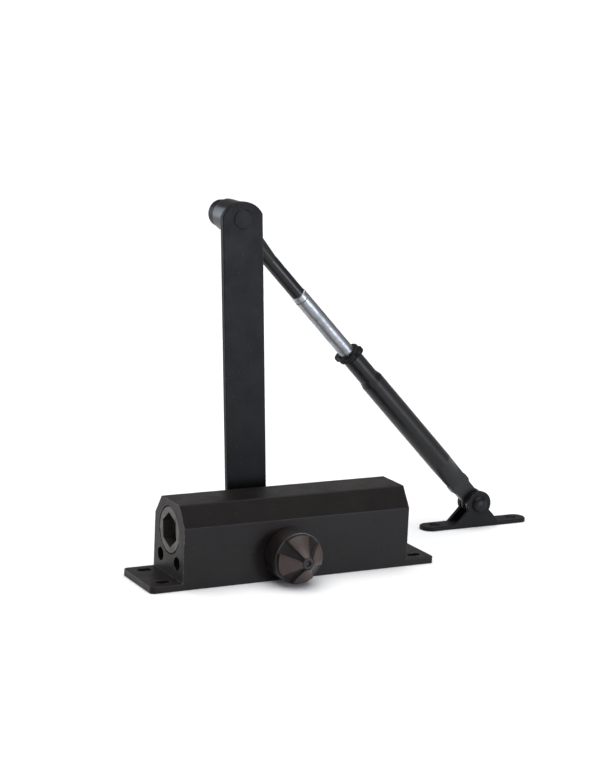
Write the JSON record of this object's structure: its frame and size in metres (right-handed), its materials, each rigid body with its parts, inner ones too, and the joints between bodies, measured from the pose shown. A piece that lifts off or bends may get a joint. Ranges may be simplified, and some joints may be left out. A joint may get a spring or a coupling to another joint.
{
  "type": "door closer",
  "caption": "Surface-mounted hydraulic rack-and-pinion door closer with a flat main arm, an adjustable forearm and a pivoting shoe, for a hinged door and its frame.",
  "frame": {"origin": "centre of the four base slots, on the body's flat mounting face", "axes": "+Z away from the door or frame the body is screwed to; +X along the body towards the shoe; +Y along the pinion shaft, towards the arms"},
  "size_m": [0.3663, 0.135, 0.2641],
  "materials": {
    "body_paint": "satin",
    "arm_paint": "satin",
    "cap_plastic": "satin",
    "plated_steel": "satin",
    "black_steel": "satin",
    "ground_steel": "polished",
    "piston_iron": "satin",
    "bearing_bronze": "satin",
    "seal_rubber": "matte"
  },
  "bodies": {
    "housing": {"body_casting": "body_paint", "end_plug_left": "plated_steel", "end_plug_right": "plated_steel", "plug_seal_left": "seal_rubber", "plug_seal_right": "seal_rubber", "bearing_front": "bearing_bronze", "bearing_rear": "bearing_bronze", "gland_front": "black_steel", "gland_rear": "black_steel", "shaft_seal_front": "seal_rubber", "shaft_seal_rear": "seal_rubber", "pinion_cap": "cap_plastic", "outer_spring": "black_steel", "inner_spring": "black_steel"},
    "pinion_arm": {"pinion_shaft": "ground_steel", "main_arm": "arm_paint", "arm_washer": "black_steel", "arm_screw": "black_steel", "elbow_pin": "arm_paint", "elbow_washer": "black_steel", "elbow_cap": "arm_paint"},
    "piston_rack": {"piston": "piston_iron", "check_seat": "ground_steel"},
    "check_valve_ball": {"check_ball": "ground_steel"},
    "forearm_rod": {"rod_end": "arm_paint", "adjusting_rod": "plated_steel"},
    "forearm_sleeve": {"forearm_tube": "arm_paint"},
    "clamp_nut": {"lock_nut": "arm_paint"},
    "shoe": {"shoe_bracket": "arm_paint", "shoe_bolt": "black_steel", "bush_front": "plated_steel", "bush_rear": "plated_steel", "shoe_nut": "black_steel"},
    "closing_needle": {"closing_valve": "plated_steel", "closing_valve_seal": "seal_rubber"},
    "latching_needle": {"latching_valve": "plated_steel", "latching_valve_seal": "seal_rubber"}
  },
  "joints": [
    {"name": "pinion_turn", "type": "hinge", "parent": "housing", "child": "pinion_arm", "pos_m": [-0.0085, 0, 0.02], "axis": [0, 1, 0], "range_deg": [0, 180], "stiffness_Nm_per_rad": 2, "springref_deg": -154.7},
    {"name": "piston_slide", "type": "slide", "parent": "housing", "child": "piston_rack", "axis": [1, 0, 0], "range_m": [0, 0.0285], "deforming": ["outer_spring", "inner_spring"]},
    {"name": "check_ball_lift", "type": "slide", "parent": "piston_rack", "child": "check_valve_ball", "axis": [1, 0, 0], "range_m": [0, 0.003]},
    {"name": "elbow_pivot", "type": "hinge", "parent": "pinion_arm", "child": "forearm_rod", "pos_m": [-0.02226, 0.058, 0.25159], "axis": [0, 1, 0], "range_deg": [-130, 32]},
    {"name": "forearm_slide", "type": "slide", "parent": "forearm_rod", "child": "forearm_sleeve", "axis": [0.6946, 0, -0.7194], "range_m": [-0.03, 0.03]},
    {"name": "lock_nut_turn", "type": "hinge", "parent": "forearm_sleeve", "child": "clamp_nut", "pos_m": [-0.02226, 0.058, 0.25159], "axis": [0.6946, 0, -0.7194], "range_deg": [-90, 90]},
    {"name": "shoe_pivot", "type": "hinge", "parent": "forearm_sleeve", "child": "shoe", "pos_m": [0.20278, 0.058, 0.0185], "axis": [0, 1, 0], "range_deg": [-125, 40]},
    {"name": "closing_valve_turn", "type": "hinge", "parent": "housing", "child": "closing_needle", "pos_m": [-0.0865, -0.0138, 0.0165], "axis": [1, 0, 0], "range_deg": [-180, 180]},
    {"name": "latching_valve_turn", "type": "hinge", "parent": "housing", "child": "latching_needle", "pos_m": [-0.0865, 0.0138, 0.0165], "axis": [1, 0, 0], "range_deg": [-180, 180]}
  ],
  "couplings": [
    {"joint": "piston_slide", "follows": "pinion_turn", "m_per_rad": 0.009}
  ]
}
